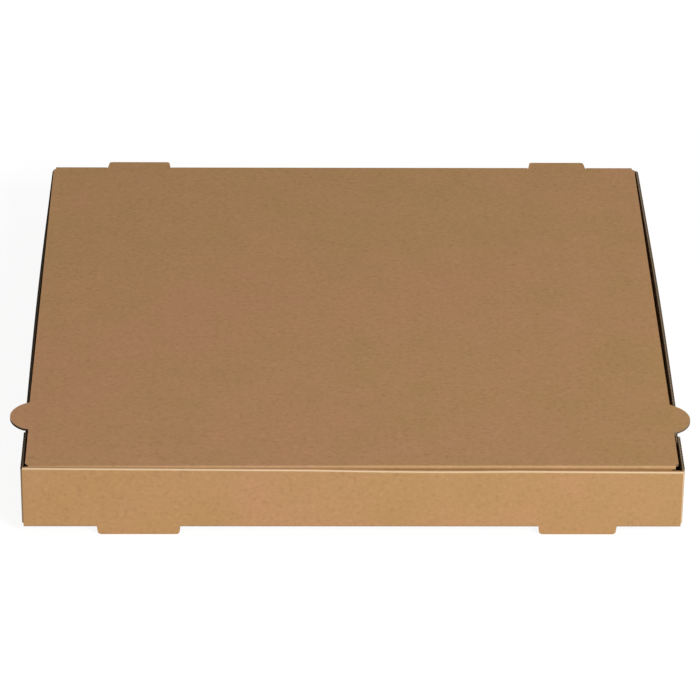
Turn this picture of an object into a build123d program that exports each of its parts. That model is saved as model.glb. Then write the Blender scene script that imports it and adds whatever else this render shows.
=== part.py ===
from build123d import *
import os
from math import cos, radians, sin

# A square pizza box, folded from one blank of corrugated board and shown closed.
# Millimetres. The origin is the middle of the underside, +Z is up and the front faces -Y.

# Board and its folds, with inside radii
board = 1.5
fold = 0.5
corner_fold = 1.0
pinched_fold = 0.15
layer_gap = 0.3

# Outside of the box
width = 402.0
depth = 400.0
height = 41.0

# Front wall, rolled over double, with the feet that its lower fold leaves standing
front_inset = 1.2
roll_slope = 16.0
roll_bend = 6.0
lock_play = 1.3
lock_side_gap = 1.0
lock_corner = 1.5
feet = ((-130.0, 51.0), (137.0, 48.0))
foot_taper = 0.8
foot_corner = 2.0

# Side walls, their corner flaps and the notches under the ears
wall_drop = 1.8
flap_length = 60.0
flap_taper = 12.0
notch_middle = 54.0
notch_length = 40.0
notch_depth = 8.0
notch_slope = 3.0
notch_corner = 2.0

# Lid
lid_gap = 2.4
lid_offset = -0.9
front_play = 0.6
hinge_play = 0.3
front_clip = 2.0
back_clip = 3.0
tuck_length = 30.0
tuck_lean = 20.0
tuck_inset = 4.0
tuck_taper = 6.0
tuck_corner = 10.0
ear_middle = 61.4
ear_root = 35.0
ear_end = 17.0
ear_out = 11.2
ear_corner = 8.0
ear_blend = 3.0
back_tabs = ((-141.0, 43.0), (144.5, 39.0))
back_tab_out = 6.6
back_tab_taper = 1.2
back_tab_corner = 2.0
window_play = 0.5

# Faces and corners that follow from the sizes above
half_width = width / 2
front = -depth / 2
back = depth / 2
inner_side = half_width - board
wall_top = height - wall_drop
layer = board + layer_gap
flap_front = front + layer + board
flap_back = back - layer - board
straight_front = flap_front + corner_fold
straight_back = flap_back - corner_fold

# The lid swings about the middle of the board at the top of the back wall
hinge_y = back - board / 2
hinge_z = height - board / 2
hinge_setback = board / 2 + hinge_play
back_tab_reach = back_tab_out + board / 2
lid_width = 2 * inner_side - lid_gap
lid_left = lid_offset - lid_width / 2
lid_right = lid_offset + lid_width / 2
lid_back = hinge_y - hinge_setback
lid_front = front + 2 * (board + pinched_fold) + front_play
lid_fold_y = lid_front + board + fold

# The inner front panel leaves the pinched fold at a slope and hangs plumb below its bend
panel_y = front + 2 * layer
pinch_y = front + board + pinched_fold
pinch_z = height - board - pinched_fold
slope = radians(roll_slope)
roll_shift = panel_y - pinch_y - pinched_fold * cos(slope) - roll_bend * (1 - cos(slope))
roll_run = roll_shift / sin(slope)
bend_z = pinch_z + pinched_fold * sin(slope) - roll_run * cos(slope) - roll_bend * sin(slope)
front_flap_top = bend_z - layer_gap
back_flap_top = hinge_z - back_tab_reach - window_play - board

# A foot is as long as the window that the two front panels need in the bottom
foot_drop = 2 * layer + lock_play


def draw_folded_board(start, heading, moves):
    """Draw the section of a strip of board whose folds all turn to the left.

    The start point is on the face inside the folds. Each move is a straight run followed
    by a fold of so many degrees about an inside radius.
    """
    inside = Vector(*start)
    outside = inside + Vector(0, -board).rotate(Axis.Z, heading)
    Line(inside, outside)
    for run, turn, radius in moves:
        along = Vector(1, 0).rotate(Axis.Z, heading)
        if run:
            inside = Line(inside, inside + along * run) @ 1
            outside = Line(outside, outside + along * run) @ 1
        if turn:
            inside = JernArc(inside, along, radius, turn) @ 1
            outside = JernArc(outside, along, radius + board, turn) @ 1
        heading += turn
    Line(inside, outside)


def tab_outline(root, reach, taper, corner):
    """Outline of a tab that stands on the X axis, narrower by the taper at each far corner."""
    with BuildSketch(mode=Mode.PRIVATE) as tab:
        with BuildLine():
            end = root / 2 - taper
            Polyline((-root / 2, 0), (root / 2, 0), (end, reach), (-end, reach), close=True)
        make_face()
        fillet(tab.vertices().group_by(Axis.Y)[-1], corner)
    return tab.sketch


# Tray: bottom, walls, corner flaps, rolled front wall and feet
with BuildPart() as tray:
    # One side wall with its two corner flaps, seen from above
    with BuildSketch(Plane.XY.offset(layer)):
        with BuildLine():
            flap_run = flap_length - board - corner_fold
            draw_folded_board(
                (half_width - flap_length, flap_front),
                0,
                [
                    (flap_run, 90, corner_fold),
                    (straight_back - straight_front, 90, corner_fold),
                    (flap_run, 0, 0),
                ],
            )
        make_face()
    extrude(amount=wall_top - layer)

    # The flaps stay below the roll in front and below the swinging lid tabs behind
    with BuildSketch(Plane.XZ.offset(-straight_front)):
        with Locations((inner_side - corner_fold, front_flap_top)):
            Rectangle(flap_length, wall_top, align=(Align.MAX, Align.MIN))
    extrude(amount=board + corner_fold, mode=Mode.SUBTRACT)
    with BuildSketch(Plane.XZ.offset(-straight_back)):
        with Locations((inner_side, back_flap_top)):
            Rectangle(flap_length, wall_top, align=(Align.MAX, Align.MIN))
    extrude(amount=-board - corner_fold, mode=Mode.SUBTRACT)

    # Each flap's far end slopes back towards its top corner
    for flap_top, y in ((front_flap_top, straight_front), (back_flap_top, straight_back)):
        with BuildSketch(Plane.XZ.offset(-y)):
            with BuildLine():
                Polyline(
                    (half_width - flap_length, layer),
                    (half_width - flap_length + flap_taper, flap_top),
                    (half_width - flap_length, flap_top),
                    close=True,
                )
            make_face()
        extrude(amount=board + corner_fold, both=True, mode=Mode.SUBTRACT)

    # The straight wall starts above its fold at the bottom
    with BuildSketch(Plane.XZ.offset(-straight_front)):
        with Locations((inner_side, 0)):
            Rectangle(board, board + fold, align=(Align.MIN, Align.MIN))
    extrude(amount=straight_front - straight_back, mode=Mode.SUBTRACT)

    # The notch under the ear is wider at its mouth
    with BuildSketch(Plane.YZ.offset(inner_side)):
        with Locations((front + notch_middle, wall_top)):
            add(tab_outline(notch_length, notch_depth, notch_slope, notch_corner), rotation=180)
    extrude(amount=board, mode=Mode.SUBTRACT)
    mirror(about=Plane.YZ)

    # Bottom panel with the folds up to both side walls
    with BuildSketch(Plane.XZ.offset(-straight_front)):
        with BuildLine():
            draw_folded_board(
                (-inner_side, board + fold),
                270,
                [(0, 90, fold), (2 * (inner_side - fold), 90, fold)],
            )
        make_face()
    extrude(amount=straight_front - straight_back)
    with BuildSketch():
        Rectangle(2 * (inner_side - fold), depth - 2 * (board + fold))
    extrude(amount=board)

    # Back wall, as wide as the lid, with a rounded crease along its top
    with BuildSketch(Plane.YZ.offset(lid_offset)):
        with BuildLine():
            back_run = hinge_z - board - fold
            draw_folded_board((back - board - fold, board), 0, [(0, 90, fold), (back_run, 0, 0)])
        make_face()
        with Locations((hinge_y, hinge_z)):
            Circle(board / 2)
    extrude(amount=lid_width / 2, both=True)

    # Outer front panel, from the top of the roll down to the bottom
    with BuildSketch(Plane.YZ):
        with BuildLine():
            front_run = pinch_z - board - fold
            draw_folded_board(
                (pinch_y, height - board),
                180,
                [(0, 90, pinched_fold), (front_run, 90, fold)],
            )
        make_face()
    extrude(amount=half_width - front_inset, both=True)

    # Each foot is cut out of the bottom and stands in the plane of the outer panel
    for middle, foot_width in feet:
        with BuildSketch():
            with Locations((middle, front)):
                Rectangle(foot_width, board + fold, align=(Align.CENTER, Align.MIN))
            with Locations((middle, front + board / 2)):
                add(tab_outline(foot_width, foot_drop + board / 2, foot_taper, foot_corner))
        extrude(amount=board + fold, mode=Mode.SUBTRACT)
        with BuildSketch(Plane.XZ.offset(-front)):
            with Locations((middle, 0)):
                Rectangle(foot_width, board + fold, align=(Align.CENTER, Align.MIN))
                add(tab_outline(foot_width, foot_drop, foot_taper, foot_corner), rotation=180)
        extrude(amount=-board)

    # Inner front panel, from just above the bottom up to the top of the roll
    with BuildSketch(Plane.YZ):
        with BuildLine():
            draw_folded_board(
                (panel_y, layer),
                90,
                [
                    (bend_z - layer, roll_slope, roll_bend),
                    (roll_run, 90 - roll_slope, pinched_fold),
                ],
            )
        make_face()
    extrude(amount=inner_side - corner_fold - layer_gap, both=True)

    # Its locking tabs seat in the windows that the feet leave
    with BuildSketch(Plane.XZ.offset(-panel_y)):
        for middle, foot_width in feet:
            with Locations((middle, layer)):
                lock_width = foot_width - 2 * lock_side_gap
                add(tab_outline(lock_width, layer, foot_taper, lock_corner), rotation=180)
    extrude(amount=-board)

    # Windows in the back wall, where the lid's back tabs were cut out
    for middle, tab_width in back_tabs:
        with BuildSketch(Plane.XZ.offset(-back)):
            with Locations((middle, height)):
                window_depth = height - hinge_z + back_tab_reach + window_play
                window_width = tab_width + 2 * window_play
                add(
                    tab_outline(window_width, window_depth, back_tab_taper, back_tab_corner),
                    rotation=180,
                )
        extrude(amount=board + fold, mode=Mode.SUBTRACT)
tray.part.label = "tray"

# Lid: one panel with ears and back tabs, its front fold and the tuck flap
with BuildPart() as lid:
    with BuildSketch(Plane.XY.offset(height - board)) as panel:
        with Locations((lid_offset, lid_fold_y)):
            Rectangle(lid_width, lid_back - lid_fold_y, align=(Align.CENTER, Align.MIN))
        chamfer(panel.vertices().group_by(Axis.Y)[0], front_clip)
        chamfer(panel.vertices().group_by(Axis.Y)[-1], back_clip)
        ear_outline = tab_outline(ear_root, ear_out, (ear_root - ear_end) / 2, ear_corner)
        for edge_x, turn in ((lid_left, 90), (lid_right, -90)):
            with Locations((edge_x, front + ear_middle)):
                add(ear_outline, rotation=turn)
        ear_roots = panel.vertices().filter_by(
            lambda corner: abs(abs(corner.Y - front - ear_middle) - ear_root / 2) < ear_blend / 100
        )
        fillet(ear_roots, ear_blend)
        for middle, tab_width in back_tabs:
            with Locations((middle, lid_back)):
                tab_reach = back + back_tab_out - lid_back
                add(tab_outline(tab_width, tab_reach, back_tab_taper, back_tab_corner))
    extrude(amount=board)

    # The front fold turns past plumb, so that the tuck flap clears the rolled wall
    with BuildSketch(Plane.YZ.offset(lid_offset)):
        with BuildLine():
            draw_folded_board((lid_fold_y, height - board), 180, [(0, 90 + tuck_lean, fold)])
        make_face()
    extrude(amount=lid_width / 2 - front_clip, both=True)

    # Tuck flap, drawn on the inside face of the board, below the fold
    lean = radians(tuck_lean)
    tuck_root = (
        lid_offset,
        lid_fold_y - fold * cos(lean),
        height - board - fold - fold * sin(lean),
    )
    tuck_plane = Plane(tuck_root, x_dir=(1, 0, 0), z_dir=(0, cos(lean), sin(lean)))
    with BuildSketch(tuck_plane):
        tuck_width = lid_width - 2 * tuck_inset
        add(tab_outline(tuck_width, tuck_length, tuck_taper, tuck_corner))
    extrude(amount=-board)
lid.part.label = "lid"

os.makedirs("parts", exist_ok=True)
export_step(tray.part, "parts/tray.step")
export_step(lid.part, "parts/lid.step")
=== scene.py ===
from math import atan, atan2, cos, pi, radians, sin, tan

import bmesh
import bpy
from mathutils import Matrix, Vector


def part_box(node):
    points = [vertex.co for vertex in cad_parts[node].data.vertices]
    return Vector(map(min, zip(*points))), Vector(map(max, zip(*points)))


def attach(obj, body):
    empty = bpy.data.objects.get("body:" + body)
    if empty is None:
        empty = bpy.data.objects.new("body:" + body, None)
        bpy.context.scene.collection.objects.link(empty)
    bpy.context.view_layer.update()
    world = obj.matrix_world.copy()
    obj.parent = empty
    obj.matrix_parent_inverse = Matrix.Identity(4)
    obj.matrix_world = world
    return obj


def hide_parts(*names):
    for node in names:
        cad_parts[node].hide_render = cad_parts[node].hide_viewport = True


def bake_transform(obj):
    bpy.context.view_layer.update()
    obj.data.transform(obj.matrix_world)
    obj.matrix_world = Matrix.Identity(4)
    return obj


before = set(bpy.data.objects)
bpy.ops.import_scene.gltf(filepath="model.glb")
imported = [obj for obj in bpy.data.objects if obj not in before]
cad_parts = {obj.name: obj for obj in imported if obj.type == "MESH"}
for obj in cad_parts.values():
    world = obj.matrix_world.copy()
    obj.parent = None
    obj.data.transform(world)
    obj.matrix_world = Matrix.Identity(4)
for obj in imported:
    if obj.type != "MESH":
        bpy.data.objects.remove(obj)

bl_info = {
    "name": "Folded pizza box",
    "version": (1, 0, 0),
    "blender": (4, 5, 0),
    "location": "3D View > Sidebar > Pizza box",
    "description": "Folds a corrugated pizza box with a hinged lid round its packed model",
    "category": "Add Mesh",
}

# Sizes are millimetres times MM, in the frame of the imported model
MM = 0.001
TRAY_LOW, TRAY_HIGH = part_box("tray")
LID_LOW, LID_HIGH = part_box("lid")
SMALL = 0.02 * MM

# Outside faces of the box
SIDE = TRAY_HIGH.x
FRONT = TRAY_LOW.y
BACK = TRAY_HIGH.y
TOP = TRAY_HIGH.z
FOOT_END = TRAY_LOW.z

# Outside radii of the folds
PANEL_FOLD = 1.65 * MM
CORNER_FOLD = 2.5 * MM
ROLL_FOLD = 1.65 * MM
LID_FOLD = 1.65 * MM
HINGE_FOLD = 1.75 * MM
FOLD_STEPS = 10
SMOOTH_ANGLE = 25.0

# Tray: walls, corner flaps, rolled front and the places where tabs are cut
WALL_TOP = TOP - 1.8 * MM
WALL_END = 195.7 * MM
FLAP_ROOT = SIDE - CORNER_FOLD
FLAP_LENGTH = 60.0 * MM
FLAP_TAPER = 12.0 * MM
FRONT_FLAP_TOP = 31.95 * MM
BACK_FLAP_TOP = 30.9 * MM
FLAP_TOPS = ((-1, FRONT_FLAP_TOP), (1, BACK_FLAP_TOP))
NOTCHES = ((-153.0 * MM, -126.0 * MM), (-157.5 * MM, -126.0 * MM))
NOTCH_DEPTH = 8.0 * MM
NOTCH_SLOPE = 3.0 * MM
FRONT_HALF = 199.8 * MM
ROLL_HALF = 198.2 * MM
ROLL_SLOPE = 16.0
ROLL_RUN = 5.708 * MM
ROLL_BEND = 7.5 * MM
ROLL_BEND_PLACE = (-202.4 * MM, 32.25 * MM)
INNER_PANEL = ROLL_BEND_PLACE[0] + ROLL_BEND
INNER_PANEL_FOOT = 1.8 * MM
DIP_PLACE = 40.0 * MM
DIP_REACH = 60.0 * MM
FEET = ((-155.5 * MM, -104.5 * MM), (113.0 * MM, 161.0 * MM))
FOOT_TAPER = 0.8 * MM
FOOT_CORNER = 2.0 * MM
FOOT_WINDOW_END = -193.6 * MM
LOCK_GAP = 1.0 * MM
LOCKS = tuple((left + LOCK_GAP, right - LOCK_GAP) for left, right in FEET)
BACK_WALL = (-199.0 * MM, 197.4 * MM)
BACK_WALL_TOP = 39.0 * MM
WINDOWS = ((-163.0 * MM, -119.0 * MM), (124.5 * MM, 164.5 * MM))
WINDOW_FOOT = 32.4 * MM
DIE_LIFT = 5 * SMALL

# Lid: one panel, its ears and back tabs, the front fold and the tuck flap
LID_SIDES = (-199.2 * MM, 197.4 * MM)
LID_LEFT_INSET = 0.9 * MM
LID_PRESS_START = -130.0 * MM
LID_FRONT = -194.45 * MM
LID_BACK = 198.0 * MM
LID_MIDDLE = (LID_SIDES[0] + LID_SIDES[1]) / 2
EAR_ROOTS = ((-152.6 * MM, -119.8 * MM), (-156.5 * MM, -121.9 * MM))
EAR_TAPERS = (4.5 * MM, 8.0 * MM)
EAR_CORNER = 16.0 * MM
EAR_BLEND = 0.8 * MM
BACK_TABS = ((-162.5 * MM, -119.5 * MM), (125.0 * MM, 164.0 * MM))
BACK_TAB_TAPER = 1.2 * MM
BACK_TAB_CORNER = 2.0 * MM
FRONT_CLIP = 2.0 * MM
BACK_CLIP = 3.0 * MM
TUCK_LEAN = 20.0
TUCK_HALF = 194.3 * MM
TUCK_LENGTH = 30.0 * MM
TUCK_TAPER = 6.0 * MM
TUCK_CORNER = 10.0 * MM
TUCK_DOWN = Vector((0, sin(radians(TUCK_LEAN)), -cos(radians(TUCK_LEAN))))
TUCK_ROOT = Vector((0, LID_FRONT + LID_FOLD * TUCK_DOWN.z, TOP - LID_FOLD * (1 + TUCK_DOWN.y)))

# How far apart the score lines lie that let the panels bend, across and along the box
TRAY_SCORES = (25.0 * MM, 20.0 * MM)
LID_SCORES = (50.0 * MM, 8.0 * MM)

# Flutes: how far they reach past a cut edge, and where the first one of a panel lies
FLUTE_REACH = 0.3 * MM
FLUTE_BEYOND = 3.0 * MM
FLUTE_MARGIN = 1.0 * MM
FRONT_FLUTES = FOOT_END + 1.5 * MM
INNER_FLUTES = 1.2 * MM
BACK_FLUTES = PANEL_FOLD + 2.0 * MM
LID_FLUTES = LID_FRONT + 1.5 * MM
TUCK_FLUTES = 2.0 * MM
# Heights from a flute's crest (-1) to its liner (1), each with half its width in pitches
FLUTE_PROFILE = ((-1.0, 0.05), (-0.575, 0.152), (0.225, 0.286), (1.0, 0.43))

# Scales of the papers' patterns, from the widest to single fibres
DRIFTS, CLOUDS, FRECKLES, FIBRES, GRAIN = 7.0, 38.0, 360.0, 1300.0, 1400.0
FIBRE_STRETCH = (0.28, 1.0, 1.0)

# Stage, in metres
KEY_PLACE = (2.00, -2.72, 2.00)
KEY_SIZE = 1.4
CAMERA_PLACE = (-40.0 * MM, -2428.4 * MM, 1390.0 * MM)
CAMERA_RIGHT = (0.99989, -0.0122, 0.00814)
CAMERA_UP = (-0.00105, 0.49395, 0.86949)
SENSOR_WIDTH = 36.0
FLOOR_RADIUS = 6.0
FLOOR_RIM = 5.0
FLOOR_GREY = 0.80
SHADOW_GREY = 0.14
# Distance from the box, and how bright the floor is there by itself
GLOW_NEAR = (0.35, 0.915)
GLOW_FAR = (1.0, 1.0)


class BoardSettings(bpy.types.PropertyGroup):
    thickness: bpy.props.FloatProperty(
        name="Thickness", description="Thickness of the corrugated board",
        default=1.5 * MM, min=0.5 * MM, unit="LENGTH",
    )
    liner: bpy.props.FloatProperty(
        name="Liner", description="Thickness of one outer paper of the board",
        default=0.24 * MM, min=0.1 * MM, unit="LENGTH",
    )
    medium: bpy.props.FloatProperty(
        name="Medium", description="Thickness of the wavy paper between the liners",
        default=0.22 * MM, min=0.1 * MM, unit="LENGTH",
    )
    pitch: bpy.props.FloatProperty(
        name="Flute pitch", description="Distance from one flute to the next",
        default=3.3 * MM, min=1.0 * MM, unit="LENGTH",
    )


class WarpSettings(bpy.types.PropertyGroup):
    side_bow: bpy.props.FloatProperty(
        name="Side bow", description="How far the side walls' tops bulge at half length",
        default=0.7 * MM, unit="LENGTH",
    )
    back_pinch: bpy.props.FloatProperty(
        name="Back pinch", description="How far the side walls' tops are drawn in at the back",
        default=0.9 * MM, unit="LENGTH",
    )
    front_drop: bpy.props.FloatProperty(
        name="Front drop", description="How far the rolled front wall is lower at its right end",
        default=1.8 * MM, unit="LENGTH",
    )
    front_lean: bpy.props.FloatProperty(
        name="Front lean", description="How far the front wall's top leans back at its left end",
        default=1.2 * MM, unit="LENGTH",
    )
    front_dip: bpy.props.FloatProperty(
        name="Front dip", description="Depth of the shallow dip in the middle of the front roll",
        default=0.6 * MM, unit="LENGTH",
    )
    lid_skew: bpy.props.FloatProperty(
        name="Lid skew", description="How far the lid's front edge is drawn back at its left end",
        default=1.0 * MM, unit="LENGTH",
    )
    lid_press: bpy.props.FloatProperty(
        name="Lid press", description="How far the lid's front edge is pressed down at its left",
        default=1.0 * MM, unit="LENGTH",
    )


class PaperSettings(bpy.types.PropertyGroup):
    kraft: bpy.props.FloatVectorProperty(
        name="Kraft", description="Main colour of the brown liner",
        default=(0.500, 0.273, 0.125), min=0.0, max=1.0, subtype="COLOR",
    )
    warm: bpy.props.FloatVectorProperty(
        name="Warm cloud", description="Redder clouds in the brown liner",
        default=(0.515, 0.266, 0.134), min=0.0, max=1.0, subtype="COLOR",
    )
    olive: bpy.props.FloatVectorProperty(
        name="Olive cloud", description="Greener clouds in the brown liner",
        default=(0.480, 0.279, 0.108), min=0.0, max=1.0, subtype="COLOR",
    )
    # Paler stretched liner mixed with a painted highlight, laid on the folds
    crease_and_highlight: bpy.props.FloatVectorProperty(
        name="Crease", description="Colour of the liner where it is stretched over a fold",
        default=(0.800, 0.600, 0.380), min=0.0, max=1.0, subtype="COLOR",
    )
    cut: bpy.props.FloatVectorProperty(
        name="Cut edge", description="Colour of the paper where the board is cut",
        default=(0.270, 0.195, 0.125), min=0.0, max=1.0, subtype="COLOR",
    )
    flute: bpy.props.FloatVectorProperty(
        name="Flute", description="Colour of the wavy paper inside the board",
        default=(0.190, 0.140, 0.095), min=0.0, max=1.0, subtype="COLOR",
    )


class StageSettings(bpy.types.PropertyGroup):
    key: bpy.props.FloatProperty(
        name="Key light", description="Power of the soft light in front",
        default=125.0, min=0.0, unit="POWER",
    )
    ambient: bpy.props.FloatProperty(
        name="Ambient", description="Strength of the even light from all round",
        default=0.26, min=0.0,
    )
    focal_length: bpy.props.FloatProperty(
        name="Focal length", description="Focal length of the camera in millimetres",
        default=221.88, min=1.0,
    )


# Helpers for work in edit mode


def deselect_all():
    bpy.ops.object.select_all(action="DESELECT")


def activate(piece):
    """Make a piece the active one, and the only one selected."""
    deselect_all()
    piece.select_set(True)
    bpy.context.view_layer.objects.active = piece


def finish_place():
    """Put the active object's place into its mesh."""
    bpy.ops.object.transform_apply(location=True, rotation=True, scale=True)


def add_panel(name, low, high, facing):
    """Add a flat panel between two corners, with its outside towards facing."""
    deselect_all()
    low, high = Vector(low), Vector(high)
    turn = Vector((0, 0, 1)).rotation_difference(Vector(facing)).to_euler()
    bpy.ops.mesh.primitive_plane_add(size=1, location=(low + high) / 2, rotation=turn)
    panel = bpy.context.active_object
    panel.name = panel.data.name = name
    local = panel.rotation_euler.to_matrix().transposed() @ (high - low)
    panel.scale = (abs(local.x), abs(local.y), 1)
    finish_place()
    return panel


def open_mesh(piece, mode="EDGE"):
    """Open a piece in edit mode, to select its VERT, EDGE or FACE elements."""
    activate(piece)
    bpy.ops.object.mode_set(mode="EDIT")
    bpy.ops.mesh.select_mode(type=mode)


def close_mesh():
    bpy.ops.object.mode_set(mode="OBJECT")


def middle(part):
    """Middle of an edge or a face of the open mesh."""
    places = [corner.co for corner in part.verts]
    return sum(places, Vector()) / len(places)


def pick(piece, kind, test):
    """Select only the open mesh's verts, edges or faces that pass the test."""
    mode = {"verts": "VERT", "edges": "EDGE", "faces": "FACE"}[kind]
    bpy.ops.mesh.select_mode(type=mode)
    bpy.ops.mesh.select_all(action="DESELECT")
    mesh = bmesh.from_edit_mesh(piece.data)
    found = [part for part in getattr(mesh, kind) if test(part)]
    if not found:
        raise RuntimeError(f"{piece.name}: nothing to select among its {kind}")
    for part in found:
        part.select_set(True)
    mesh.select_flush_mode()
    bmesh.update_edit_mesh(piece.data)


def score(piece, axis, places, test=None):
    """Score lines across the open mesh, or across its faces that pass the test."""
    for place in places:
        pick(piece, "faces", test or (lambda face: True))
        point, normal = Vector(), Vector()
        point[axis] = place
        normal[axis] = 1
        bpy.ops.mesh.bisect(plane_co=point, plane_no=normal, threshold=SMALL / 10)


def fold(centre, axis, degrees, steps=FOLD_STEPS):
    """Fold the selected border edges on round an axis, by the right-hand rule."""
    bpy.ops.mesh.spin(
        steps=steps, angle=-radians(degrees), center=centre, axis=axis, use_auto_merge=False
    )


def extend(move):
    """Draw the selected border edges out into new faces."""
    bpy.ops.mesh.extrude_edges_move(TRANSFORM_OT_translate={"value": move})


def narrow_to(span, taper, axis):
    """Draw the selected corners of a tab together, by the taper at each side."""
    centre, factor = Vector(), Vector((1, 1, 1))
    centre[axis] = (span[0] + span[1]) / 2
    factor[axis] = 1 - 2 * taper / (span[1] - span[0])
    bpy.ops.transform.resize(value=factor, center_override=centre)


def flatten_to_one_face():
    """Take the score lines out of the open mesh, which is flat."""
    bpy.ops.mesh.select_mode(type="FACE")
    bpy.ops.mesh.select_all(action="SELECT")
    bpy.ops.mesh.dissolve_limited(angle_limit=radians(1))


def round_corners(piece, test, radius, turn, segments=6):
    """Round the corners that pass the test, each of which turns by so many radians."""
    pick(piece, "verts", test)
    bpy.ops.mesh.bevel(
        offset=radius * tan(turn / 2), offset_type="OFFSET", affect="VERTICES",
        segments=segments, profile=0.5,
    )


def is_border(edge):
    return len(edge.link_faces) == 1


def near(value, place, reach=SMALL):
    return abs(value - place) < reach


def between(value, span, reach=SMALL):
    return span[0] - reach < value < span[1] + reach


def clamp(value):
    return max(0.0, min(1.0, value))


def even_places(low, high, step):
    """Places between two ends, evenly spaced and about one step apart."""
    count = max(1, round((high - low) / step))
    return [low + (high - low) * i / count for i in range(1, count)]


def join(pieces):
    """Join pieces into the first of them."""
    deselect_all()
    for piece in pieces:
        piece.select_set(True)
    bpy.context.view_layer.objects.active = pieces[0]
    bpy.ops.object.join()
    return pieces[0]


def apply_modifier(piece, kind, **settings):
    activate(piece)
    bpy.ops.object.modifier_add(type=kind)
    modifier = piece.modifiers[-1]
    for name, value in settings.items():
        setattr(modifier, name, value)
    bpy.ops.object.modifier_apply(modifier=modifier.name)


def thicken(piece, outward):
    """Give a folded sheet the board's thickness, towards the inside of its folds."""
    open_mesh(piece)
    bpy.ops.mesh.select_all(action="SELECT")
    bpy.ops.mesh.remove_doubles(threshold=SMALL)
    bpy.ops.mesh.normals_make_consistent(inside=False)
    mesh = bmesh.from_edit_mesh(piece.data)
    place, direction = outward
    face = min(mesh.faces, key=lambda f: (f.calc_center_median() - Vector(place)).length)
    if face.normal.dot(Vector(direction)) < 0:
        bpy.ops.mesh.flip_normals()
    close_mesh()
    dress(piece)
    apply_modifier(
        piece, "SOLIDIFY", thickness=bpy.context.scene.board.thickness, offset=-1,
        use_even_offset=True, material_offset_rim=1,
    )


# Flutes, dies and cuts


def count_flutes(low, high):
    """How many flutes a panel holds, one pitch apart."""
    return int((high - low) / bpy.context.scene.board.pitch)


def add_flutes(name, start, end, across, outward, count):
    """Add a row of flute holes, to be cut out of a panel.

    The first pair runs from start to end, on the outside face of the panel. The others
    follow it, one pitch apart in the direction across.
    """
    board = bpy.context.scene.board
    start, end = Vector(start), Vector(end)
    across, outward = Vector(across), Vector(outward)
    half_gap = board.thickness / 2 - board.liner
    rise = half_gap - board.medium / 2
    holes = []
    for side in (1, -1):
        deselect_all()
        bpy.ops.mesh.primitive_cylinder_add(
            vertices=8, radius=1, depth=1, end_fill_type="NGON", rotation=(0, 0, pi / 8)
        )
        finish_place()
        hole = bpy.context.active_object
        open_mesh(hole, "VERT")
        mesh = bmesh.from_edit_mesh(hole.data)
        rows = sorted({round(v.co.y, 3) for v in mesh.verts})
        crest = side * (board.medium / 2 - rise)
        shift = 0.5 * board.pitch if side < 0 else 0.0
        for v in mesh.verts:
            height, width = FLUTE_PROFILE[rows.index(round(v.co.y, 3))]
            u = (1 if v.co.x > 0 else -1) * width * board.pitch + shift
            w = crest + (side * half_gap - crest) * (height + 1) / 2
            along = end if v.co.z > 0 else start
            v.co = along + across * u + outward * (w - board.thickness / 2)
        bmesh.update_edit_mesh(hole.data)
        bpy.ops.mesh.select_all(action="SELECT")
        bpy.ops.mesh.normals_make_consistent(inside=False)
        close_mesh()
        holes.append(hole)
    row = join(holes)
    row.name = row.data.name = name
    apply_modifier(
        row, "ARRAY", count=count, use_relative_offset=False, use_constant_offset=True,
        constant_offset_displace=across * board.pitch,
    )
    return row


def corners_of(piece):
    """Lowest and highest corner of a piece's mesh."""
    places = [v.co for v in piece.data.vertices]
    return [Vector(end(p[i] for p in places) for i in range(3)) for end in (min, max)]


def cut(piece, cutter):
    """Cut one closed mesh out of another, and leave the cutter's material on the cut."""
    before = corners_of(piece)
    apply_modifier(
        piece, "BOOLEAN", object=cutter, operation="DIFFERENCE", solver="EXACT",
        material_mode="TRANSFER",
    )
    if any((new - old).length > MM for new, old in zip(corners_of(piece), before)):
        raise RuntimeError(f"{piece.name} was damaged by the cut with {cutter.name}")
    bpy.data.objects.remove(cutter)


def add_die(name, place, root, reach, taper, corner, facing, depth):
    """Add a cutting die with a tapered outline and two round corners.

    Its root is centred on the place and is so wide. It reaches down from there, and is
    depth thick along the direction facing.
    """
    deselect_all()
    half = root / 2
    across = Vector((0, 0, 1)).cross(Vector(facing))
    bpy.ops.mesh.primitive_plane_add(size=1)
    die = bpy.context.active_object
    die.name = die.data.name = name
    open_mesh(die, "VERT")
    mesh = bmesh.from_edit_mesh(die.data)
    for v in mesh.verts:
        width = half - (taper if v.co.y < 0 else 0)
        v.co = (
            Vector(place)
            + across * (width if v.co.x > 0 else -width)
            + Vector((0, 0, -reach if v.co.y < 0 else 0))
            - Vector(facing) * depth / 2
        )
    bmesh.update_edit_mesh(die.data)
    foot = place[2] - reach
    round_corners(die, lambda v: near(v.co.z, foot), corner, pi / 2 - atan(taper / reach))
    bpy.ops.mesh.select_all(action="SELECT")
    bpy.ops.mesh.extrude_region_move(
        TRANSFORM_OT_translate={"value": Vector(facing) * depth}
    )
    bpy.ops.mesh.select_all(action="SELECT")
    bpy.ops.mesh.normals_make_consistent(inside=False)
    close_mesh()
    return die


# How the folded board departs from straight


def follow_front(x, y):
    """How far a point goes with the front wall: 1, and 0 to 1 round a corner fold."""
    beside = abs(x) - FLAP_ROOT
    if beside < SMALL or abs(y) > WALL_END + CORNER_FOLD + SMALL:
        return 1.0
    return clamp(atan2(abs(y) - WALL_END, beside) / (pi / 2))


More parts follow.
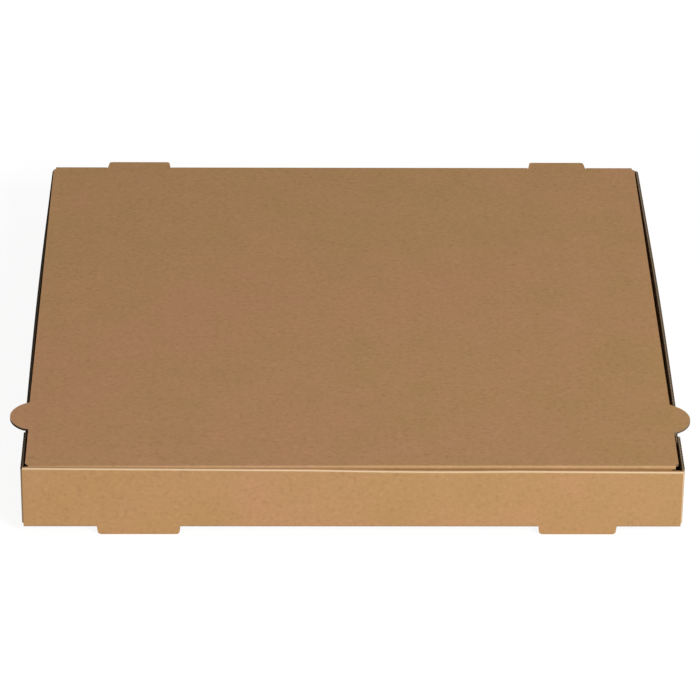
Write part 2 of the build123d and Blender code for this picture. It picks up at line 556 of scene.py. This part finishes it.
def warp(piece):
    """Bow the side walls and lean the rolled front, as the folded board does."""
    settings = bpy.context.scene.warp
    for v in piece.data.vertices:
        x, y, z = v.co
        height = clamp(z / WALL_TOP)
        upright = z > PANEL_FOLD and abs(y) < WALL_END + CORNER_FOLD + SMALL
        wall = upright and abs(x) > ROLL_HALF + 2 * SMALL
        flap = (
            upright and abs(y) > WALL_END and abs(x) > SIDE - FLAP_LENGTH - SMALL
            and z < FRONT_FLAP_TOP + FLUTE_REACH + SMALL
        )
        if wall or flap:
            bow = settings.side_bow * cos(pi * y / (2 * BACK)) ** 2
            pinch = settings.back_pinch * max(0.0, y / BACK) ** 2
            v.co.x += (bow - pinch) * height * (1 if x > 0 else -1)
        if y < INNER_PANEL + SMALL:
            share = (x + FRONT_HALF) / (2 * FRONT_HALF)
            follow = follow_front(x, y) * height
            dip = settings.front_dip * clamp(1 - ((x - DIP_PLACE) / DIP_REACH) ** 2)
            v.co.z -= (settings.front_drop * share + dip) * follow
            v.co.y += settings.front_lean * (1 - share) * follow


def warp_lid(lid):
    """Press the lid's front edge down and back at its left end, where the roll holds it."""
    settings = bpy.context.scene.warp
    for v in lid.data.vertices:
        share = clamp((LID_SIDES[1] - v.co.x) / (LID_SIDES[1] - LID_SIDES[0]))
        near_front = clamp((LID_PRESS_START - v.co.y) / (LID_PRESS_START - LID_FRONT))
        v.co.y += settings.lid_skew * share * near_front
        v.co.z -= settings.lid_press * share * share * near_front * near_front


def smooth(piece):
    """Smooth the folds and keep the flat panels flat."""
    activate(piece)
    bpy.ops.object.shade_smooth_by_angle(angle=radians(SMOOTH_ANGLE))
    apply_modifier(piece, "WEIGHTED_NORMAL", keep_sharp=True, weight=50)


# Materials


class Nodes:
    """A few short words for making the nodes of a material or a world."""

    def __init__(self, owner):
        owner.use_nodes = True
        self.owner = owner
        self.tree = owner.node_tree
        self.tree.nodes.clear()

    def add(self, kind, **values):
        node = self.tree.nodes.new(kind)
        for name, value in values.items():
            setattr(node, name, value)
        return node

    def put(self, value, socket):
        """Link a socket into another one, or set that one to a plain value."""
        if isinstance(value, bpy.types.NodeSocket):
            self.tree.links.new(value, socket)
        else:
            socket.default_value = value

    def noise(self, vector, scale, detail=3.0, roughness=0.5):
        node = self.add("ShaderNodeTexNoise")
        node.inputs["Scale"].default_value = scale
        node.inputs["Detail"].default_value = detail
        node.inputs["Roughness"].default_value = roughness
        self.put(vector, node.inputs["Vector"])
        return node.outputs["Fac"]

    def split(self, vector):
        """The three parts of a vector."""
        node = self.add("ShaderNodeSeparateXYZ")
        self.put(vector, node.inputs[0])
        return node.outputs

    def ramp(self, value, low, high, out_low=0.0, out_high=1.0):
        node = self.add("ShaderNodeMapRange", clamp=True)
        for name, number in (
            ("From Min", low), ("From Max", high), ("To Min", out_low), ("To Max", out_high),
        ):
            node.inputs[name].default_value = number
        self.put(value, node.inputs["Value"])
        return node.outputs["Result"]

    def math(self, first, second, operation="ADD"):
        node = self.add("ShaderNodeMath", operation=operation)
        self.put(first, node.inputs[0])
        self.put(second, node.inputs[1])
        return node.outputs[0]

    def blend(self, factor, first, second):
        """Mix two colours. Each is a socket or three numbers."""
        node = self.add("ShaderNodeMix", data_type="RGBA", blend_type="MIX")
        self.put(factor, node.inputs[0])
        for socket, colour in ((node.inputs[6], first), (node.inputs[7], second)):
            plain = not isinstance(colour, bpy.types.NodeSocket)
            self.put((*colour, 1.0) if plain else colour, socket)
        return node.outputs[2]

    def scale(self, colour, shade):
        """Darken or brighten a colour, which is a socket or three numbers."""
        node = self.add("ShaderNodeVectorMath", operation="SCALE")
        self.put(colour, node.inputs[0])
        self.put(shade, node.inputs["Scale"])
        return node.outputs[0]

    def bump(self, height, strength, distance):
        node = self.add("ShaderNodeBump")
        node.inputs["Strength"].default_value = strength
        node.inputs["Distance"].default_value = distance
        self.put(height, node.inputs["Height"])
        return node.outputs["Normal"]

    def grey(self, level):
        """A plain matt grey."""
        node = self.add("ShaderNodeBsdfDiffuse")
        node.inputs["Color"].default_value = (level, level, level, 1)
        return node.outputs[0]

    def finish(self, shader, kind="ShaderNodeOutputMaterial"):
        output = self.add(kind)
        self.put(shader, output.inputs["Surface"])
        return self.owner


def finish_paper(n, colour, roughness, specular, normal):
    """Put a paper's shader together. Its roughness is a socket or a number."""
    shader = n.add("ShaderNodeBsdfPrincipled")
    shader.inputs["Specular IOR Level"].default_value = specular
    n.put(colour, shader.inputs["Base Color"])
    n.put(roughness, shader.inputs["Roughness"])
    n.put(normal, shader.inputs["Normal"])
    return n.finish(shader.outputs[0])


def kraft_liner():
    """Brown kraft liner: fibres, soft clouds, a few dark specks, and folds that are paler where
    the liner is stretched, with a painted highlight that is strongest on the front roll.
    """
    paper = bpy.context.scene.paper
    n = Nodes(bpy.data.materials.new("kraft_liner"))
    coordinates = n.add("ShaderNodeTexCoord")
    place = coordinates.outputs["Object"]
    stretched = n.add("ShaderNodeMapping")
    stretched.inputs["Scale"].default_value = FIBRE_STRETCH
    n.put(place, stretched.inputs["Vector"])
    drifts = n.noise(place, DRIFTS, 2.0)
    clouds = n.noise(place, CLOUDS, 2.0)
    freckles = n.noise(place, FRECKLES, 2.0)
    fibres = n.noise(stretched.outputs["Vector"], FIBRES, 3.0, 0.65)
    depth = n.split(place)[1]
    facing = [n.math(part, 0.0, "ABSOLUTE") for part in n.split(coordinates.outputs["Normal"])]

    # The front and back walls and the back of the lid are a little more olive
    hue = n.math(n.math(drifts, 0.6, "MULTIPLY"), n.math(clouds, 0.4, "MULTIPLY"))
    hue = n.math(hue, n.ramp(facing[1], 0.3, 0.9, 0.0, 0.12))
    hue = n.math(hue, n.ramp(depth, 0.0, 0.75 * BACK, -0.01, 0.06))
    colour = n.blend(n.ramp(hue, 0.40, 0.64), tuple(paper.warm), tuple(paper.olive))
    colour = n.blend(0.35, colour, tuple(paper.kraft))

    # Fibres and clouds change its shade a little, and specks are darker or paler
    shade = n.math(
        n.ramp(fibres, 0.25, 0.75, 0.94, 1.06), n.ramp(clouds, 0.3, 0.7, 1.02, 0.98), "MULTIPLY"
    )
    shade = n.math(shade, n.ramp(freckles, 0.56, 0.74, 1.0, 0.87), "MULTIPLY")
    shade = n.math(shade, n.ramp(freckles, 0.44, 0.26, 1.0, 1.09), "MULTIPLY")
    colour = n.scale(colour, shade)

    # The liner is stretched and paler over a fold, and a painted highlight is mixed in there,
    # most of all over the front roll
    largest = n.math(n.math(facing[0], facing[1], "MAXIMUM"), facing[2], "MAXIMUM")
    # Painted highlight: only a little on the lid's front fold, and full on the front roll
    front_paleness_and_highlight = n.ramp(depth, LID_FRONT - LID_FOLD, FRONT + ROLL_FOLD, 0.22, 1.0)
    crease_and_highlight = n.math(n.ramp(largest, 0.94, 0.78), front_paleness_and_highlight, "MULTIPLY")
    colour = n.blend(crease_and_highlight, colour, tuple(paper.crease_and_highlight))

    height = n.math(n.math(fibres, 0.6, "MULTIPLY"), n.math(freckles, 0.6, "MULTIPLY"))
    roughness = n.ramp(freckles, 0.3, 0.7, 0.78, 0.90)
    return finish_paper(n, colour, roughness, 0.25, n.bump(height, 0.25, 0.15 * MM))


def raw_paper(name, colour, low=0.8, high=1.15):
    """Paper seen at a cut or inside the flutes: rough, uneven, and darkened towards the left by
    painted shade.
    """
    n = Nodes(bpy.data.materials.new(name))
    place = n.add("ShaderNodeTexCoord").outputs["Object"]
    grain = n.noise(place, GRAIN, 3.0, 0.6)
    # Painted shade: the cut edges and flutes grow darker towards the left side of the box
    left = n.ramp(n.split(place)[0], -0.9 * SIDE, 0.0, 0.4, 1.0)
    shade = n.math(n.ramp(grain, 0.3, 0.7, low, high), left, "MULTIPLY")
    return finish_paper(n, n.scale(colour, shade), 0.92, 0.15, n.bump(grain, 0.4, 0.1 * MM))


def board_materials():
    """The three papers of the board: liner, cut edge and flute."""
    paper = bpy.context.scene.paper
    made = {m.name: m for m in bpy.data.materials}
    return (
        made.get("kraft_liner") or kraft_liner(),
        made.get("cut_edge") or raw_paper("cut_edge", tuple(paper.cut)),
        made.get("flute_paper") or raw_paper("flute_paper", tuple(paper.flute), 0.7, 1.1),
    )


def dress(piece, *numbers):
    """Give a piece the board's materials, or only those with the numbers."""
    papers = board_materials()
    for number in numbers or range(len(papers)):
        piece.data.materials.append(papers[number])


# The tray


def cut_feet(panel, axis, level, end, keep):
    """Cut the feet into an open panel, or the windows that they leave in it.

    Below the level on the axis the panel keeps only the feet, or loses only their width.
    The corners at the end are then drawn in and rounded.
    """
    score(panel, 0, [x for foot in FEET for x in foot])
    score(panel, axis, [level])
    pick(panel, "faces", lambda f: middle(f)[axis] < level
         and keep != any(between(middle(f).x, foot) for foot in FEET))
    bpy.ops.mesh.delete(type="FACE")
    flatten_to_one_face()
    for foot in FEET:
        pick(panel, "verts", lambda v: near(v.co[axis], end) and between(v.co.x, foot))
        narrow_to(foot, FOOT_TAPER, 0)
    round_corners(panel, lambda v: near(v.co[axis], end), FOOT_CORNER, pi / 2)


def lay_out_tray():
    """Lay out the bottom, the outer front panel and the back wall, up to the hinge fold."""
    side, reach = SIDE - PANEL_FOLD, BACK - PANEL_FOLD
    tray = add_panel("tray_board", (-side, -reach, 0), (side, reach, 0), (0, 0, -1))
    open_mesh(tray)
    cut_feet(tray, 1, FOOT_WINDOW_END, FOOT_WINDOW_END, False)
    close_mesh()

    face = add_panel(
        "outer_front", (-FRONT_HALF, FRONT, FOOT_END),
        (FRONT_HALF, FRONT, TOP - ROLL_FOLD), (0, -1, 0),
    )
    open_mesh(face)
    cut_feet(face, 2, PANEL_FOLD, FOOT_END, True)
    close_mesh()

    wall = add_panel(
        "back_wall", (BACK_WALL[0], BACK, PANEL_FOLD), (BACK_WALL[1], BACK, BACK_WALL_TOP),
        (0, 1, 0),
    )
    return join([tray, face, wall])


def score_tray(tray):
    """Score the long panels, so that they can bend, and where folds and tabs end."""
    side = SIDE - PANEL_FOLD
    ends = [x for lock in LOCKS for x in lock] + [-ROLL_HALF, ROLL_HALF, BACK_WALL[1]]
    score(tray, 0, sorted(ends + even_places(-side, side, TRAY_SCORES[0])))
    along = [-WALL_END, *even_places(-WALL_END, WALL_END, TRAY_SCORES[1]), WALL_END]
    score(tray, 1, along, lambda f: near(middle(f).z, 0))


def fold_side(tray, sign):
    """Fold up one side wall, and its two corner flaps."""
    side = sign * (SIDE - PANEL_FOLD)
    pick(tray, "edges", lambda e: is_border(e) and near(middle(e).x, side)
         and near(middle(e).z, 0) and abs(middle(e).y) < WALL_END)
    fold((side, 0, PANEL_FOLD), (0, 1, 0), -90 * sign)
    extend((0, 0, WALL_TOP - PANEL_FOLD))
    for end, flap_top in FLAP_TOPS:
        fold_flap(tray, sign, end, flap_top)


def fold_flap(tray, sign, end, flap_top):
    """Fold one corner flap in from the end of a side wall."""
    pick(tray, "edges", lambda e: is_border(e) and near(middle(e).x, sign * SIDE)
         and near(middle(e).y, end * WALL_END) and middle(e).z > PANEL_FOLD)
    fold((sign * FLAP_ROOT, end * WALL_END, 0), (0, 0, 1), 90 * sign * end)
    outer = end * (WALL_END + CORNER_FOLD)
    score(tray, 2, [flap_top], lambda f: middle(f).y * end > WALL_END + SMALL
          and middle(f).x * sign > FLAP_ROOT - SMALL)
    pick(tray, "edges", lambda e: is_border(e) and near(middle(e).y, outer)
         and near(middle(e).x, sign * FLAP_ROOT) and middle(e).z < flap_top)
    extend((-sign * (FLAP_LENGTH - CORNER_FOLD), 0, 0))
    tip = sign * (SIDE - FLAP_LENGTH)
    pick(tray, "verts", lambda v: near(v.co.x, tip) and near(v.co.y, outer)
         and near(v.co.z, flap_top))
    bpy.ops.transform.translate(value=(sign * FLAP_TAPER, 0, 0))


def roll_front(tray):
    """Roll the front panel over, bring it down inside, and add its locking tabs."""
    pick(tray, "edges", lambda e: is_border(e) and near(middle(e).z, TOP - ROLL_FOLD)
         and near(middle(e).y, FRONT))
    roll = (0, FRONT + ROLL_FOLD, TOP - ROLL_FOLD)
    fold(roll, (1, 0, 0), -90)
    pick(tray, "edges", lambda e: is_border(e) and near(middle(e).z, TOP)
         and near(middle(e).y, FRONT + ROLL_FOLD) and abs(middle(e).x) < ROLL_HALF)
    fold(roll, (1, 0, 0), ROLL_SLOPE - 90)
    slope = radians(ROLL_SLOPE)
    extend((0, ROLL_RUN * sin(slope), -ROLL_RUN * cos(slope)))
    fold((0, *ROLL_BEND_PLACE), (1, 0, 0), -ROLL_SLOPE, 4)
    extend((0, 0, INNER_PANEL_FOOT - ROLL_BEND_PLACE[1]))
    pick(tray, "edges", lambda e: is_border(e) and near(middle(e).z, INNER_PANEL_FOOT)
         and near(middle(e).y, INNER_PANEL) and any(between(middle(e).x, lock) for lock in LOCKS))
    extend((0, 0, -INNER_PANEL_FOOT))
    for lock in LOCKS:
        pick(tray, "verts", lambda v: near(v.co.z, 0) and near(v.co.y, INNER_PANEL)
             and between(v.co.x, lock))
        narrow_to(lock, FOOT_TAPER, 0)


def fold_tray():
    """Fold the tray's outside as one sheet, from its bottom panel outwards."""
    tray = lay_out_tray()
    open_mesh(tray)
    score_tray(tray)
    for sign in (-1, 1):
        fold_side(tray, sign)

    # The lower edges of the front panel and of the back wall fold under
    for place, sign in ((FRONT, 1), (BACK, -1)):
        pick(tray, "edges", lambda e: is_border(e) and near(middle(e).z, PANEL_FOLD)
             and near(middle(e).y, place))
        fold((0, place + sign * PANEL_FOLD, PANEL_FOLD), (1, 0, 0), 90 * sign)
    roll_front(tray)
    close_mesh()
    thicken(tray, ((0, 0, 0), (0, 0, -1)))
    return tray


def add_tray_dies():
    """Add the dies for the ear notches and for the windows of the lid's back tabs."""
    thickness = bpy.context.scene.board.thickness
    dies = []
    for sign, (low, high) in zip((-1, 1), NOTCHES):
        place = (sign * (SIDE - thickness / 2), (low + high) / 2, WALL_TOP + DIE_LIFT)
        dies.append(add_die(
            "notch", place, high - low, NOTCH_DEPTH, NOTCH_SLOPE, FOOT_CORNER, (1, 0, 0),
            4 * thickness,
        ))
    for low, high in WINDOWS:
        place = ((low + high) / 2, BACK - thickness / 2, BACK_WALL_TOP + DIE_LIFT)
        dies.append(add_die(
            "window", place, high - low, BACK_WALL_TOP - WINDOW_FOOT, BACK_TAB_TAPER,
            BACK_TAB_CORNER, (0, 1, 0), 1.5 * thickness,
        ))
    return join(dies)


def add_tray_flutes():
    """Add the flutes of every panel of the tray, far enough to open its cut edges."""
    wall_count = count_flutes(0, 2 * (WALL_END - FLUTE_MARGIN))
    first = -wall_count * bpy.context.scene.board.pitch / 2
    flap_count = count_flutes(FLUTE_MARGIN, FLAP_LENGTH - CORNER_FOLD - FLUTE_MARGIN)
    rows = []
    for sign in (-1, 1):
        rows.append(add_flutes(
            "wall_flutes", (sign * SIDE, first, PANEL_FOLD + FLUTE_MARGIN),
            (sign * SIDE, first, WALL_TOP + FLUTE_BEYOND), (0, 1, 0), (sign, 0, 0), wall_count,
        ))
        tip = sign * (SIDE - FLAP_LENGTH + FLUTE_MARGIN)
        for end, flap_top in FLAP_TOPS:
            outer = end * (WALL_END + CORNER_FOLD)
            rows.append(add_flutes(
                "flap_flutes", (tip, outer, PANEL_FOLD + FLUTE_MARGIN),
                (tip, outer, flap_top + FLUTE_REACH), (sign, 0, 0), (0, end, 0), flap_count,
            ))
    wide, inner = SIDE + FLUTE_BEYOND, ROLL_HALF + FLUTE_REACH
    for name, half, face, outward, low, high in (
        ("front_flutes", wide, FRONT, -1, FRONT_FLUTES, TOP - ROLL_FOLD),
        ("inner_flutes", inner, INNER_PANEL, 1, INNER_FLUTES, ROLL_BEND_PLACE[1]),
        ("back_flutes", wide, BACK, 1, BACK_FLUTES, BACK_WALL_TOP),
    ):
        rows.append(add_flutes(
            name, (-half, face, low), (half, face, low), (0, 0, 1), (0, outward, 0),
            count_flutes(low, high),
        ))
    return join(rows)


def cut_tray(tray):
    """Stamp the tray's notches and windows, and open its flutes along every cut edge."""
    dies = add_tray_dies()
    dress(dies, 1)
    cut(tray, dies)
    flutes = add_tray_flutes()
    dress(flutes, 2)
    for piece in (tray, flutes):
        warp(piece)
    cut(tray, flutes)


# The lid and its hinge


def draw_lid():
    """Draw the lid's outline, with its ears and back tabs, and leave its mesh open."""
    low, high = LID_SIDES
    lid = add_panel("lid_board", (low, LID_FRONT, TOP), (high, LID_BACK, TOP), (0, 0, 1))
    open_mesh(lid)
    score(lid, 1, [y for roots in EAR_ROOTS for y in roots])
    score(lid, 0, [x for tab in BACK_TABS for x in tab])
    ears = list(zip(LID_SIDES, (LID_LOW.x, LID_HIGH.x), EAR_ROOTS, EAR_TAPERS))
    for edge, tip, roots, taper in ears:
        pick(lid, "edges", lambda e: near(middle(e).x, edge) and between(middle(e).y, roots))
        extend((tip - edge, 0, 0))
        pick(lid, "verts", lambda v: near(v.co.x, tip))
        narrow_to(roots, taper, 1)
    for tab in BACK_TABS:
        pick(lid, "edges", lambda e: near(middle(e).y, LID_BACK)
             and near(middle(e).x, sum(tab) / 2))
        extend((0, LID_HIGH.y - LID_BACK, 0))
        pick(lid, "verts", lambda v: near(v.co.y, LID_HIGH.y) and between(v.co.x, tab))
        narrow_to(tab, BACK_TAB_TAPER, 0)
    flatten_to_one_face()
    for edge, tip, roots, taper in ears:
        turn = pi / 2 - atan(taper / abs(tip - edge))
        round_corners(lid, lambda v: near(v.co.x, tip), EAR_CORNER, turn, 12)
        round_corners(
            lid, lambda v: near(v.co.x, edge) and any(near(v.co.y, y) for y in roots),
            EAR_BLEND, turn,
        )
    tab_turn = pi / 2 - atan(BACK_TAB_TAPER / (LID_HIGH.y - LID_BACK))
    round_corners(lid, lambda v: near(v.co.y, LID_HIGH.y), BACK_TAB_CORNER, tab_turn)
    for y, clip in ((LID_FRONT, FRONT_CLIP), (LID_BACK, BACK_CLIP)):
        pick(lid, "verts", lambda v: near(v.co.y, y) and any(near(v.co.x, x) for x in LID_SIDES))
        bpy.ops.mesh.bevel(offset=clip, affect="VERTICES", segments=1)

    # In front of its left ear the lid is cut a little narrower
    pick(lid, "verts", lambda v: near(v.co.x, low, 3 * MM) and v.co.y < EAR_ROOTS[0][0] + MM)
    bpy.ops.transform.translate(value=(LID_LEFT_INSET, 0, 0))
    return lid


def fold_tuck(lid):
    """Fold the open lid's front edge past plumb, and draw out the tuck flap below it."""
    ends = (LID_MIDDLE - TUCK_HALF, LID_MIDDLE + TUCK_HALF)
    score(lid, 0, ends)
    pick(lid, "edges", lambda e: is_border(e) and near(middle(e).y, LID_FRONT))
    fold((0, LID_FRONT, TOP - LID_FOLD), (1, 0, 0), 90 + TUCK_LEAN)
    pick(lid, "edges", lambda e: is_border(e) and near(middle(e).y, TUCK_ROOT.y)
         and near(middle(e).z, TUCK_ROOT.z) and near(middle(e).x, LID_MIDDLE))
    extend(TUCK_DOWN * TUCK_LENGTH)
    foot = TUCK_ROOT + TUCK_DOWN * TUCK_LENGTH
    pick(lid, "verts", lambda v: near(v.co.z, foot.z))
    narrow_to(ends, TUCK_TAPER, 0)
    round_corners(
        lid, lambda v: near(v.co.z, foot.z), TUCK_CORNER,
        pi / 2 - atan(TUCK_TAPER / TUCK_LENGTH), 10,
    )


def add_lid_flutes():
    """Add the flutes of the lid and of its tuck flap, past every cut edge."""
    left, right = LID_LOW.x - FLUTE_MARGIN, LID_HIGH.x + FLUTE_MARGIN
    panel = add_flutes(
        "lid_flutes", (left, LID_FLUTES, TOP), (right, LID_FLUTES, TOP), (0, 1, 0),
        (0, 0, 1), count_flutes(LID_FLUTES, LID_HIGH.y) + 1,
    )
    first = TUCK_ROOT + TUCK_DOWN * TUCK_FLUTES
    tuck = add_flutes(
        "tuck_flutes", (left, *first.yz), (right, *first.yz), TUCK_DOWN,
        (0, TUCK_DOWN.z, -TUCK_DOWN.y), count_flutes(TUCK_FLUTES, TUCK_LENGTH),
    )
    return join([panel, tuck])


def fold_lid():
    """Fold the lid's outside as one sheet, and open its flutes along every cut edge."""
    lid = draw_lid()
    fold_tuck(lid)
    score(lid, 1, even_places(LID_FRONT, LID_PRESS_START, LID_SCORES[1]) + [LID_PRESS_START])
    score(lid, 0, even_places(*LID_SIDES, LID_SCORES[0]))
    close_mesh()
    thicken(lid, ((0, 0, TOP), (0, 0, 1)))
    flutes = add_lid_flutes()
    dress(flutes, 2)
    cut(lid, flutes)
    warp_lid(lid)
    return lid


def fold_hinge():
    """Fold the strips that join the lid to the back wall, beside the back tabs."""
    spans = []
    start = LID_SIDES[0] + BACK_CLIP / 2
    for low, high in WINDOWS:
        spans.append((start, low))
        start = high
    spans.append((start, LID_SIDES[1] - BACK_CLIP / 2))
    strips = []
    for low, high in spans:
        strip = add_panel(
            "hinge", (low, LID_BACK, TOP), (high, BACK - HINGE_FOLD, TOP), (0, 0, 1)
        )
        open_mesh(strip)
        pick(strip, "edges", lambda e: near(middle(e).y, BACK - HINGE_FOLD))
        fold((0, BACK - HINGE_FOLD, TOP - HINGE_FOLD), (1, 0, 0), -90)
        extend((0, 0, BACK_WALL_TOP - TOP + HINGE_FOLD))
        close_mesh()
        thicken(strip, (((low + high) / 2, LID_BACK, TOP), (0, 0, 1)))
        strips.append(strip)
    hinge = join(strips)
    hinge.name = hinge.data.name = "hinge_fold"
    return hinge


# Operators and their panel


class PIZZABOX_OT_tray(bpy.types.Operator):
    """Fold the tray: bottom, walls, corner flaps and the rolled front with its feet"""

    bl_idname = "pizzabox.tray"
    bl_label = "Fold the tray"

    def execute(self, context):
        tray = fold_tray()
        cut_tray(tray)
        smooth(tray)
        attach(tray, "tray")
        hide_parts("tray")
        return {"FINISHED"}


class PIZZABOX_OT_lid(bpy.types.Operator):
    """Fold the lid: its panel with ears and back tabs, and the tuck flap"""

    bl_idname = "pizzabox.lid"
    bl_label = "Fold the lid"

    def execute(self, context):
        lid = fold_lid()
        smooth(lid)
        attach(lid, "lid")
        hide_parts("lid")
        return {"FINISHED"}


class PIZZABOX_OT_hinge(bpy.types.Operator):
    """Fold the scored strips that the lid swings on"""

    bl_idname = "pizzabox.hinge"
    bl_label = "Fold the hinge"

    def execute(self, context):
        hinge = fold_hinge()
        smooth(hinge)
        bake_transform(hinge)
        return {"FINISHED"}


class PIZZABOX_OT_stage(bpy.types.Operator):
    """Set up the floor, the light and the camera"""

    bl_idname = "pizzabox.stage"
    bl_label = "Set the stage"

    def execute(self, context):
        lay_floor()
        light_world(context.scene.stage)
        hang_key_lamp(context.scene.stage)
        place_camera(context.scene.stage)
        return {"FINISHED"}


class PIZZABOX_PT_panel(bpy.types.Panel):
    """Lists the steps that make the pizza box"""

    bl_idname = "PIZZABOX_PT_panel"
    bl_label = "Pizza box"
    bl_space_type = "VIEW_3D"
    bl_region_type = "UI"
    bl_category = "Pizza box"

    def draw(self, context):
        for group in GROUPS:
            settings = getattr(context.scene, group)
            box = self.layout.box()
            for name in settings.bl_rna.properties.keys():
                if name not in ("rna_type", "name"):
                    box.prop(settings, name)
        for step in STEPS:
            self.layout.operator(step.bl_idname)


# Stage


def seen_directly(n):
    """1 for what the camera sees, also in gloss and through glass, and 0 for all else."""
    path = n.add("ShaderNodeLightPath").outputs
    seen = n.math(path["Is Camera Ray"], path["Is Glossy Ray"], "MAXIMUM")
    return n.math(seen, path["Is Transmission Ray"], "MAXIMUM")


def pale_floor():
    """A matt floor. The camera sees it nearly white, with only a soft shadow by the box."""
    n = Nodes(bpy.data.materials.new("pale_floor"))
    distance = n.add("ShaderNodeVectorMath", operation="LENGTH")
    n.put(n.add("ShaderNodeTexCoord").outputs["Object"], distance.inputs[0])
    glow = n.add("ShaderNodeEmission")
    n.put(
        n.ramp(distance.outputs["Value"], GLOW_NEAR[0], GLOW_FAR[0], GLOW_NEAR[1], GLOW_FAR[1]),
        glow.inputs["Strength"],
    )
    shown = n.add("ShaderNodeAddShader")
    n.put(n.grey(SHADOW_GREY), shown.inputs[0])
    n.put(glow.outputs[0], shown.inputs[1])
    mix = n.add("ShaderNodeMixShader")
    n.put(seen_directly(n), mix.inputs[0])
    n.put(n.grey(FLOOR_GREY), mix.inputs[1])
    n.put(shown.outputs[0], mix.inputs[2])
    return n.finish(mix.outputs[0])


def lay_floor():
    """Lay a pale floor that touches the feet and the bottom's back edge."""
    deselect_all()
    tilt = atan(-FOOT_END / (BACK - FRONT))
    bpy.ops.mesh.primitive_circle_add(
        vertices=96, radius=FLOOR_RADIUS, fill_type="NGON", rotation=(tilt, 0, 0)
    )
    floor = bpy.context.active_object
    floor.name = floor.data.name = "floor"
    floor.location = (0, 0, FOOT_END - FRONT * tan(tilt))
    open_mesh(floor, "FACE")
    bpy.ops.mesh.select_all(action="SELECT")
    bpy.ops.mesh.inset(thickness=FLOOR_RIM, depth=0)
    close_mesh()
    finish_place()
    floor.data.materials.append(pale_floor())


def light_world(settings):
    """Light the scene evenly from all round, with plain white behind it."""
    world = bpy.data.worlds.new("studio")
    bpy.context.scene.world = world
    n = Nodes(world)
    mix = n.add("ShaderNodeMixShader")
    n.put(seen_directly(n), mix.inputs[0])
    for socket, strength in ((mix.inputs[1], settings.ambient), (mix.inputs[2], 1.0)):
        background = n.add("ShaderNodeBackground")
        background.inputs["Color"].default_value = (1, 1, 1, 1)
        background.inputs["Strength"].default_value = strength
        n.put(background.outputs[0], socket)
    n.finish(mix.outputs[0], "ShaderNodeOutputWorld")


def hang_key_lamp(settings):
    """Hang a soft round lamp in front, to the right and above, aimed at the box."""
    deselect_all()
    bpy.ops.object.light_add(type="AREA", location=KEY_PLACE)
    lamp = bpy.context.active_object
    lamp.name = lamp.data.name = "key"
    lamp.data.shape = "DISK"
    lamp.data.size = KEY_SIZE
    lamp.data.energy = settings.key
    lamp.rotation_euler = (-Vector(KEY_PLACE)).to_track_quat("-Z", "Y").to_euler()


def place_camera(settings):
    """Stand the camera where the photograph was taken from."""
    deselect_all()
    bpy.ops.object.camera_add()
    camera = bpy.context.active_object
    camera.name = "camera"
    right, up = Vector(CAMERA_RIGHT), Vector(CAMERA_UP)
    turn = Matrix((right, up, right.cross(up))).transposed().to_4x4()
    camera.matrix_world = Matrix.Translation(CAMERA_PLACE) @ turn
    camera.data.sensor_width = SENSOR_WIDTH
    camera.data.lens = settings.focal_length
    camera.data.clip_start = 0.1
    camera.data.clip_end = 50
    bpy.context.scene.camera = camera
    bpy.context.scene.view_settings.view_transform = "Standard"


GROUPS = {
    "board": BoardSettings, "warp": WarpSettings, "paper": PaperSettings, "stage": StageSettings,
}
STEPS = (PIZZABOX_OT_stage, PIZZABOX_OT_tray, PIZZABOX_OT_lid, PIZZABOX_OT_hinge)
CLASSES = (*GROUPS.values(), *STEPS, PIZZABOX_PT_panel)


def register():
    for made in CLASSES:
        bpy.utils.register_class(made)
    for name, group in GROUPS.items():
        setattr(bpy.types.Scene, name, bpy.props.PointerProperty(type=group))


def unregister():
    for name in GROUPS:
        delattr(bpy.types.Scene, name)
    for made in reversed(CLASSES):
        bpy.utils.unregister_class(made)


def main():
    """Make the whole scene."""
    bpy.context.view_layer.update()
    register()
    bpy.ops.pizzabox.stage()
    bpy.ops.pizzabox.tray()
    bpy.ops.pizzabox.lid()
    bpy.ops.pizzabox.hinge()


if __name__ == "__main__":
    main()
